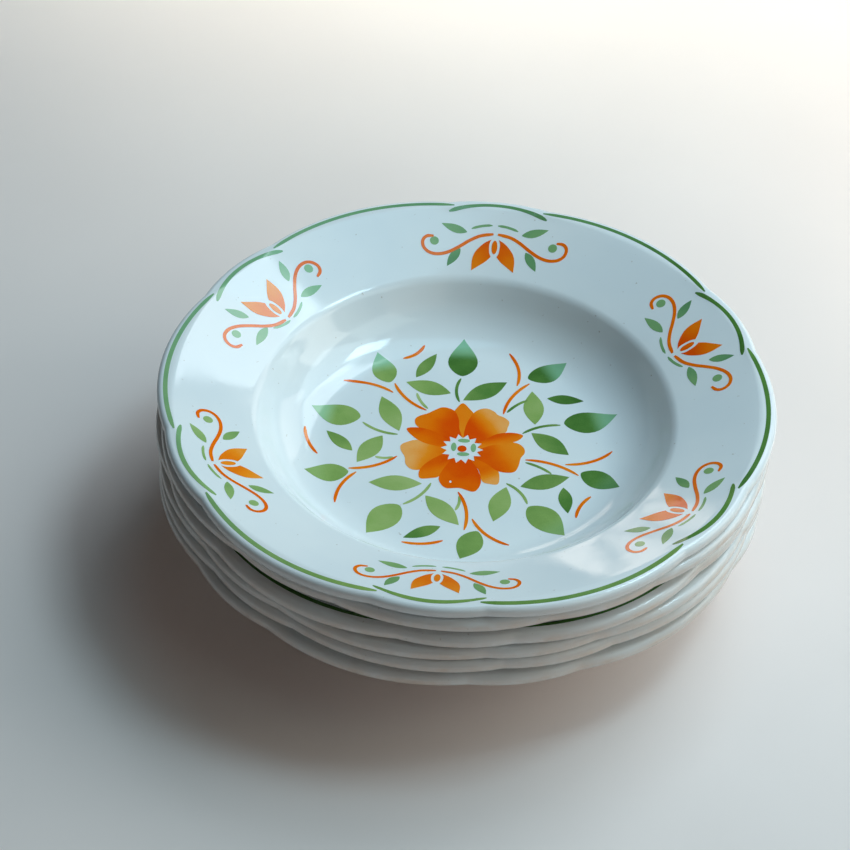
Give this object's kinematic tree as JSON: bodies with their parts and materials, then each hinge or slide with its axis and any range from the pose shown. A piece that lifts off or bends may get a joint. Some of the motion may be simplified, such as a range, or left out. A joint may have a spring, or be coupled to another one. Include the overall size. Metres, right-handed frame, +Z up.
{
  "type": "nested soup plates",
  "caption": "Stack of soup plates in white glazed earthenware with lobed, rolled rims, a stencilled orange flower with green leaves in each well, sprigs on the flange and a green rim line.",
  "frame": {"origin": "on the table, under the middle of the stack's outline", "axes": "+Z up along the plates' common axis; -Y towards the viewer's side, +X to the right"},
  "size_m": [0.238, 0.2374, 0.0748],
  "materials": {
    "glaze": "glossy off-white tin glaze with slight waviness",
    "bare_foot": "matt wiped clay on the foot ring",
    "green_paint": "sprayed green colour under gloss glaze",
    "orange_paint": "sprayed orange colour under gloss glaze"
  },
  "bodies": {
    "plate_1": {"soup_plate_1": "glaze"},
    "plate_2": {"soup_plate_2": "glaze"},
    "plate_3": {"soup_plate_3": "glaze"},
    "plate_4": {"soup_plate_4": "glaze"},
    "plate_5": {"soup_plate_5": "glaze"},
    "plate_6": {"soup_plate_6": "glaze"}
  },
  "joints": [
    {"name": "lift_plate_2", "type": "slide", "parent": "plate_1", "child": "plate_2", "axis": [0, 0, 1], "range_m": [0, 0.045]},
    {"name": "lift_plate_3", "type": "slide", "parent": "plate_2", "child": "plate_3", "axis": [0, 0, 1], "range_m": [0, 0.045]},
    {"name": "lift_plate_4", "type": "slide", "parent": "plate_3", "child": "plate_4", "axis": [0, 0, 1], "range_m": [0, 0.045]},
    {"name": "lift_plate_5", "type": "slide", "parent": "plate_4", "child": "plate_5", "axis": [0, 0, 1], "range_m": [0, 0.045]},
    {"name": "lift_plate_6", "type": "slide", "parent": "plate_5", "child": "plate_6", "axis": [0, 0, 1], "range_m": [0, 0.045]}
  ]
}
